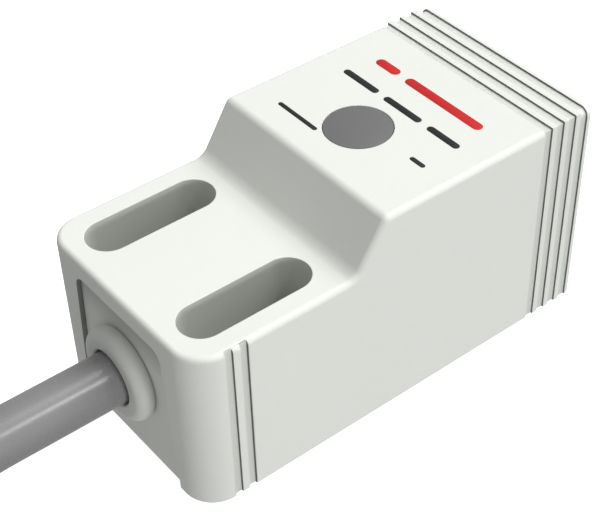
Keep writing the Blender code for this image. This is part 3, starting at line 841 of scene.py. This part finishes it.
# ---------------------------------------------------------------- grommet
tube_r = GROMMET_RADIUS - GROMMET_TUBE
tube_s = -GROMMET_OUT + GROMMET_TUBE
foot = math.degrees(math.asin((PANEL_SET_BACK - 0.05 - tube_s) / GROMMET_TUBE))
ring = []
for k in range(25):
    t = math.radians(90 - (90 + foot) * k / 24)
    ring.append((tube_r + GROMMET_TUBE * math.cos(t), tube_s - GROMMET_TUBE * math.sin(t)))
lead_in = []
for k in range(7):
    t = math.pi / 2 * k / 6
    lead_in.append(
        (BORE + 0.22 * (1 - math.cos(t)), -GROMMET_OUT + 0.22 * (1 - math.sin(t)))
    )
grommet_profile = (
    lead_in
    + ring
    + [
        (2.62, PANEL_SET_BACK - 0.05),
        (2.6, PANEL_SET_BACK - 0.03),
        (2.6, PANEL_SET_BACK + PANEL_THICK + 0.05),
        (2.95, PANEL_SET_BACK + PANEL_THICK + 0.05),
        (2.95, PANEL_SET_BACK + PANEL_THICK + 0.55),
        (BORE, PANEL_SET_BACK + PANEL_THICK + 0.55),
    ]
)
grommet = piece(
    "grommet_collar",
    turned(grommet_profile, "x", (REAR, 0, CABLE_Z)),
    GROMMET_WHITE,
    ["cable_grommet"],
    "grommet_plastic",
    sharp=45,
    weighted=False,
)

# ---------------------------------------------------------------- indicator
window_profile = [(0.0, HIGH - 0.015)]
for k in range(5):
    t = math.pi / 2 * k / 4
    window_profile.append(
        (
            WINDOW_RADIUS - 0.06 + 0.06 * math.sin(t),
            HIGH - 0.015 - 0.06 * (1 - math.cos(t)),
        )
    )
window_profile += [
    (WINDOW_RADIUS, CHAMBER_TOP - 0.1),
    (3.3, CHAMBER_TOP - 0.1),
    (3.3, CHAMBER_TOP - 0.75),
    (1.6, CHAMBER_TOP - 0.75),
    (1.6, 14.2),
    (0.0, 14.2),
]
window = piece(
    "indicator_lens",
    turned(window_profile, "z", (WINDOW_X, 0, 0)),
    SMOKED,
    ["indicator_window"],
    "window_plastic",
    sharp=40,
    weighted=False,
)


# ---------------------------------------------------------------- printed marks, as plain bars
def bar(name, x, half, y0, y1, look):
    """A printed bar with rounded ends, lying on the top face across the body."""
    points = [(a, b) for b, a in obround((y0 + half, y1 - half), x, half, 10)]
    loops = [
        (points, HIGH - 0.01),
        (points, HIGH + 0.006),
        (
            [
                (x + (a - x) * 0.97, (y0 + y1) / 2 + (b - (y0 + y1) / 2) * 0.998)
                for a, b in points
            ],
            HIGH + 0.012,
        ),
    ]
    return piece(name, lofted(loops, "xy"), look, sharp=50, weighted=False)


bar("print_red_short", 9.62, 0.42, 3.1, 5.5, RED_INK)
bar("print_red_long", 9.62, 0.42, -5.8, 2.2, RED_INK)
bar("print_dark_a", 6.88, 0.3, 2.3, 6.05, DARK_INK)
bar("print_dark_b", 6.88, 0.3, -2.4, 1.5, DARK_INK)
bar("print_dark_c", 6.88, 0.3, -6.4, -3.2, DARK_INK)
bar("print_small", 0.57, 0.19, 1.6, 5.9, DARK_INK)
bar("print_label", 3.6, 0.2, -6.5, -5.05, DARK_INK)

# ---------------------------------------------------------------- cable
DROP_START, DROP_END = -26.5, -54.5
SHIFT_START, SHIFT_END = -27.5, -55.5
RUN_Y = -3.0
LAY_Z = 2.4
HANK_IN, TURNS = 12.0, 2.5      # the innermost turn's distance from the hank's core line; turns in a row
ROWS, PITCH = 5, 4.0
EXTRA = 1.3                     # turns in the last, part row
CORE_RIGHT = -56.0              # the end of the hank's core line nearer the body
CLIMB = 0.3                     # share of a turn over which the cable climbs from one row to the next
TURN_BACK = 0.08
HANK_OUT = HANK_IN + PITCH * TURNS
CORE_Y = RUN_Y + HANK_OUT


def ease(t):
    t = min(1.0, max(0.0, t))
    return t * t * t * (t * (6 * t - 15) + 10)


def lap(straight, share, distance):
    """A point of the hank in plan, at a share of a lap, at a distance from its core line of length straight."""
    mean = (HANK_IN + HANK_OUT) / 2
    along = straight / (2 * straight + 2 * math.pi * mean)
    round_end = 0.5 - along
    left = CORE_RIGHT - straight
    share %= 1.0
    if share < along:
        return CORE_RIGHT - straight * share / along, CORE_Y - distance
    share -= along
    if share < round_end:
        angle = -math.pi / 2 - math.pi * share / round_end
        return left + distance * math.cos(angle), CORE_Y + distance * math.sin(angle)
    share -= round_end
    if share < along:
        return left + straight * share / along, CORE_Y + distance
    share -= along
    angle = math.pi / 2 - math.pi * share / round_end
    return CORE_RIGHT + distance * math.cos(angle), CORE_Y + distance * math.sin(angle)


def spiral(straight, swept):
    """The cable's centre after swept turns of the hank."""
    row = min(ROWS, int(swept / TURNS + 1e-9))
    inside = swept - row * TURNS
    if row and inside < TURNS / 2:
        inside = math.hypot(inside, TURN_BACK)
    elif row < ROWS and inside > TURNS / 2:
        inside = TURNS - math.hypot(TURNS - inside, TURN_BACK)
    distance = HANK_OUT - PITCH * inside if row % 2 == 0 else HANK_IN + PITCH * inside
    level = sum(ease((swept - k * TURNS) / CLIMB + 0.5) for k in range(1, ROWS + 1))
    x, y = lap(straight, swept, distance)
    return Vector((x, y, LAY_Z + PITCH * level))


def route(straight):
    """The cable's centreline, in millimetres: the run to the hank and the hank. straight is the length of its straight runs."""
    run = []
    x = REAR - GROMMET_OUT
    while x > CORE_RIGHT + 0.5:
        fall = ease((DROP_START - x) / (DROP_START - DROP_END))
        shift = ease((SHIFT_START - x) / (SHIFT_START - SHIFT_END))
        run.append(Vector((x, RUN_Y * shift, CABLE_Z + (LAY_Z - CABLE_Z) * fall)))
        x -= 1.0
    total = TURNS * ROWS + EXTRA
    count = int(total * 90)
    hank = [spiral(straight, total * k / count) for k in range(count + 1)]
    return run, hank


def length_of(points):
    return sum((b - a).length for a, b in zip(points, points[1:]))


low, high = 1.0, 80.0
for _ in range(40):
    middle = (low + high) / 2
    run, hank = route(middle)
    if length_of(run + hank) > CABLE_LENGTH:
        high = middle
    else:
        low = middle
STRAIGHT = low
run, hank = route(STRAIGHT)
HANK_TOP = LAY_Z + PITCH * (ROWS - 1) + CABLE_RADIUS
CORE_LEFT = CORE_RIGHT - STRAIGHT


def resampled(dense, count):
    along = [0.0]
    for a, b in zip(dense, dense[1:]):
        along.append(along[-1] + (b - a).length)
    result, j = [], 0
    for k in range(count):
        want = along[-1] * k / (count - 1)
        while j < len(along) - 2 and along[j + 1] < want:
            j += 1
        gap = along[j + 1] - along[j]
        result.append(dense[j].lerp(dense[j + 1], (want - along[j]) / gap if gap else 0))
    return result


def curve_through(points, count):
    """count points, evenly spaced, on a smooth curve through the given ones."""
    ps = [Vector(p) for p in points]
    ps = [2 * ps[0] - ps[1]] + ps + [2 * ps[-1] - ps[-2]]
    dense = []
    for i in range(1, len(ps) - 2):
        p0, p1, p2, p3 = ps[i - 1 : i + 3]
        for k in range(40):
            t = k / 40
            dense.append(
                0.5
                * (
                    2 * p1
                    + (p2 - p0) * t
                    + (2 * p0 - 5 * p1 + 4 * p2 - p3) * t * t
                    + (3 * p1 - p0 - 3 * p2 + p3) * t**3
                )
            )
    dense.append(ps[-2])
    return resampled(dense, count)


def wire(name, points, radius, look, slot, replaced=(), resolution=8, between=8):
    """A round cord on one smooth open spline through points, in millimetres."""
    curve = bpy.data.curves.new(name, "CURVE")
    curve.dimensions = "3D"
    curve.bevel_depth = radius * MM
    curve.bevel_resolution = resolution
    curve.resolution_u = between
    curve.use_fill_caps = True
    spline = curve.splines.new("BEZIER")
    spline.bezier_points.add(len(points) - 1)
    for point, at in zip(spline.bezier_points, points):
        point.co = Vector(at) * MM
        point.handle_left_type = point.handle_right_type = "AUTO"
    curve.materials.append(look)
    obj = bpy.data.objects.new(name, curve)
    collection.objects.link(obj)
    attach(obj, "root")
    if replaced:
        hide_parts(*replaced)
    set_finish(obj, slot)
    return obj


# The cable starts just inside the grommet's bore.
inside_bore = Vector((REAR - 0.45, 0.0, CABLE_Z))
cable = wire(
    "cable",
    [inside_bore] + resampled(run, 24) + hank[:-3:6] + [hank[-1]],
    CABLE_RADIUS,
    JACKET_GREY,
    "cable_jacket",
    ["cable_run", "cable_coil", "cable_end"],
    resolution=10,
    between=6,
)

# ---------------------------------------------------------------- leads at the far end
top_z = LAY_Z + PITCH * ROWS
ahead = (hank[-1] - hank[-3]).normalized()
last_swept = TURNS * ROWS + EXTRA
end_distance = HANK_IN + PITCH * EXTRA
lap_length = 2 * STRAIGHT + 2 * math.pi * end_distance
for colour, look, across, rise, aside in (
    ("brown", BROWN, -0.8, -0.4, 0.6),
    ("black", BLACK, 0.0, 0.8, 2.4),
    ("blue", BLUE, 0.8, -0.4, 4.2),
):
    path = []
    for t in (0.0, 0.07, 0.15, 0.25, 0.35, 0.45, 0.6, 0.8, 1.0):
        out = 0.3 + 34.0 * t
        x, y = lap(
            STRAIGHT,
            last_swept + out / lap_length,
            end_distance + across + (aside - across) * ease(t / 0.4),
        )
        lie = HANK_TOP + 0.7
        path.append((x, y, top_z + rise + (lie - top_z - rise) * ease((t - 0.12) / 0.45)))
    points = [
        Vector((q.x, q.y, max(q.z, HANK_TOP + 0.67))) for q in curve_through(path, 31)
    ]
    points[0] = points[0] - ahead * 0.5
    insulated, bare = points[:27], points[26:]
    lead = wire(
        f"lead_{colour}_insulated",
        insulated,
        0.65,
        look,
        f"{colour}_insulation",
        [f"lead_{colour}"],
        resolution=6,
        between=6,
    )
    strand = wire(
        f"lead_{colour}_tip",
        [insulated[-1] - (insulated[-1] - insulated[-2]) * 0.5] + bare,
        0.38,
        TINNED,
        f"{colour}_insulation",
        resolution=5,
        between=6,
    )
    del strand["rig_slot"]

# ---------------------------------------------------------------- cable tie
TIE_X = (CORE_LEFT + CORE_RIGHT) / 2
tie_gap, tie_thick, tie_wide = 0.08, 0.3, 3.0
crossings = []
for a, b in zip(hank, hank[1:]):
    if a.y > CORE_Y and (a.x - TIE_X) * (b.x - TIE_X) <= 0 and a.x != b.x:
        at = a.lerp(b, (TIE_X - a.x) / (b.x - a.x))
        crossings.append((at.y, at.z))


def around_turns(first, second):
    """Two matching loops round the bundle of turns, at two distances from their centres."""
    ring = [
        (math.cos(2 * math.pi * k / 40), math.sin(2 * math.pi * k / 40)) for k in range(40)
    ]
    named = sorted(
        {
            (round(y + first * c, 6), round(z + first * d, 6)): (y, z, c, d)
            for y, z in crossings
            for c, d in ring
        }.items()
    )

    def half(items):
        kept = []
        for item in items:
            while len(kept) > 1:
                (ay, az), (by, bz), (cy, cz) = kept[-2][0], kept[-1][0], item[0]
                if (by - ay) * (cz - az) - (bz - az) * (cy - ay) > 1e-7:
                    break
                kept.pop()
            kept.append(item)
        return kept[:-1]

    loop = half(named) + half(named[::-1])
    return [
        [(y + grow * c, z + grow * d) for _, (y, z, c, d) in loop]
        for grow in (first, second)
    ]


inner_loop, outer_loop = around_turns(
    CABLE_RADIUS + tie_gap, CABLE_RADIUS + tie_gap + tie_thick
)
bm = bmesh.new()
rings = []
for loop, x in (
    (inner_loop, -tie_wide / 2),
    (inner_loop, tie_wide / 2),
    (outer_loop, tie_wide / 2),
    (outer_loop, -tie_wide / 2),
):
    rings.append([bm.verts.new((TIE_X + x, y, z)) for y, z in loop])
for low_ring, high_ring in zip(rings, rings[1:] + rings[:1]):
    for k in range(len(low_ring)):
        j = (k + 1) % len(low_ring)
        bm.faces.new((low_ring[k], low_ring[j], high_ring[j], high_ring[k]))
bmesh.ops.recalc_face_normals(bm, faces=bm.faces)

# The head and the strap's cut end are on the side towards the hank's middle.
head_y = min(y for y, _ in outer_loop)
head = box(TIE_X - 2.3, TIE_X + 2.3, head_y - 3.2, head_y + 0.06, 9.7, 14.3)
window_cut = box(TIE_X - 1.65, TIE_X + 1.65, head_y - 2.1, head_y - 0.55, 8.5, 15.5)
strap_tail = box(TIE_X - 1.45, TIE_X + 1.45, head_y - 1.5, head_y - 0.5, 5.7, 18.1)
teeth = []
for k in range(14):
    z = 14.6 + 0.25 * k
    teeth.append(
        ("DIFFERENCE", box(TIE_X - 1.1, TIE_X + 1.1, head_y - 1.7, head_y - 1.36, z, z + 0.11))
    )
mesh = carved(
    bm,
    [("UNION", head), ("DIFFERENCE", window_cut), ("UNION", strap_tail)] + teeth,
    0.04,
)
tie = piece("cable_tie", mesh, NATURAL_NYLON, ["coil_tie"], "tie_nylon")

# ---------------------------------------------------------------- floor
floor_mesh = bpy.data.meshes.new("floor")
floor_bm = bmesh.new()
bmesh.ops.create_grid(floor_bm, x_segments=1, y_segments=1, size=4.0)
floor_bm.to_mesh(floor_mesh)
floor_bm.free()
floor = bpy.data.objects.new("floor", floor_mesh)
collection.objects.link(floor)
floor.location = (0, 0, -0.00003)
ground = Graph("pale_floor")
ground.set(colour=(0.93, 0.93, 0.93), roughness=0.9, specular=0.0)
ground.shader.inputs["Emission Color"].default_value = (1, 1, 1, 1)
ground.shader.inputs["Emission Strength"].default_value = 0.8
floor_mesh.materials.append(ground.material)
floor.visible_diffuse = False
floor.visible_glossy = False

# ---------------------------------------------------------------- light
world = bpy.data.worlds.new("studio")
bpy.context.scene.world = world
world.use_nodes = True
world.node_tree.nodes["Background"].inputs["Color"].default_value = (1.0, 1.0, 1.0, 1.0)
world.node_tree.nodes["Background"].inputs["Strength"].default_value = 0.425


def sun(name, towards, strength, angle):
    data = bpy.data.lights.new(name, "SUN")
    data.energy = strength
    data.angle = math.radians(angle)
    obj = bpy.data.objects.new(name, data)
    obj.rotation_mode = "QUATERNION"
    obj.rotation_quaternion = (-Vector(towards)).to_track_quat("-Z", "Y")
    collection.objects.link(obj)
    return obj


sun("key", (0.58, -0.02, 0.815), 2.1, 32)
sun("side", (0.1, -0.99, 0.06), 1.22, 16).visible_glossy = False
sun("sheen", (0.3, -0.55, 0.78), 0.45, 10)

# ---------------------------------------------------------------- camera
data = bpy.data.cameras.new("camera")
data.sensor_fit = "HORIZONTAL"
data.sensor_width = 36.0
data.lens = 88.16
data.shift_x, data.shift_y = -0.0933, 0.0628
data.clip_start, data.clip_end = 0.005, 20.0
camera = bpy.data.objects.new("camera", data)
right = Vector((0.76821837, -0.64018439, 0.00211726))
up = Vector((0.43498934, 0.52440606, 0.73197169))
forward = Vector((0.46970715, 0.56139311, -0.68133176))
place = Matrix((right, up, -forward)).transposed().to_4x4()
place.translation = Vector((-51.276, -64.803, 80.259)) * MM
camera.matrix_world = place
collection.objects.link(camera)
bpy.context.scene.camera = camera
bpy.context.scene.view_settings.view_transform = "Standard"

bpy.context.view_layer.update()
